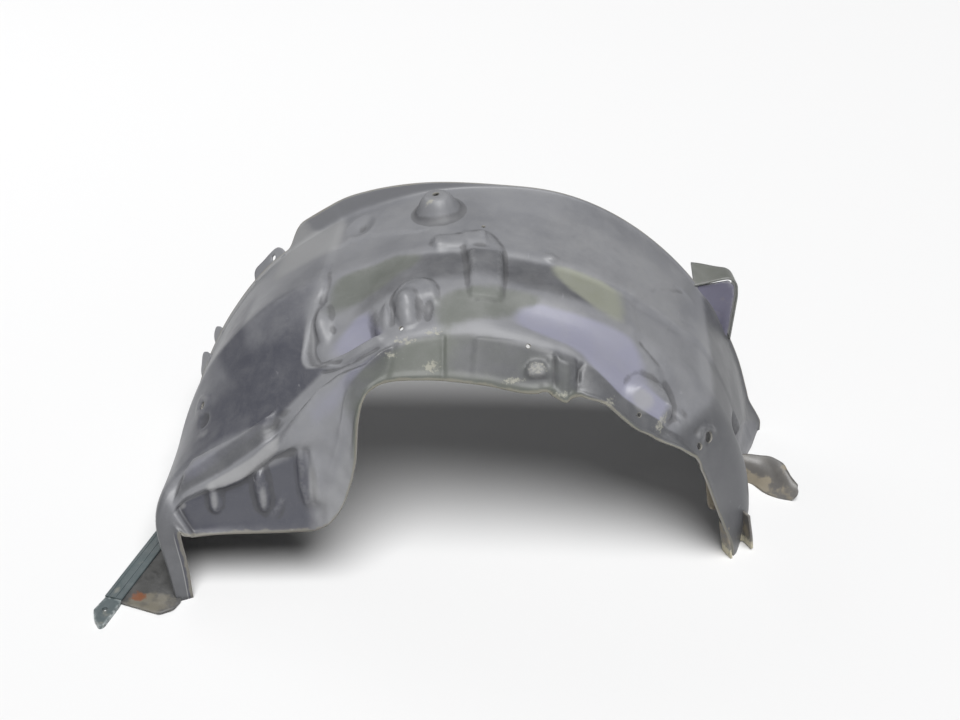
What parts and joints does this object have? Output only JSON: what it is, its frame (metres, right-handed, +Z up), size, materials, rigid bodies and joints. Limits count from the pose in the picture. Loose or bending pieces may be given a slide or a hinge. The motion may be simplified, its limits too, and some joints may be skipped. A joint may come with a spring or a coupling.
{
  "type": "wheel arch liner",
  "caption": "Front wheel arch liner: thin embossed plastic moulding with an inner wall cut away for the suspension, two legs and a clipped-on sill rail.",
  "frame": {"origin": "on the floor, under the middle of the liner's box", "axes": "+X along the car from the front leg to the rear leg, +Y out to the fender, +Z up"},
  "size_m": [0.9994, 0.5087, 0.4498],
  "materials": {
    "moulding": "satin",
    "rail": "satin"
  },
  "bodies": {
    "root": {"liner": "moulding", "sill_rail": "rail"}
  },
  "joints": []
}
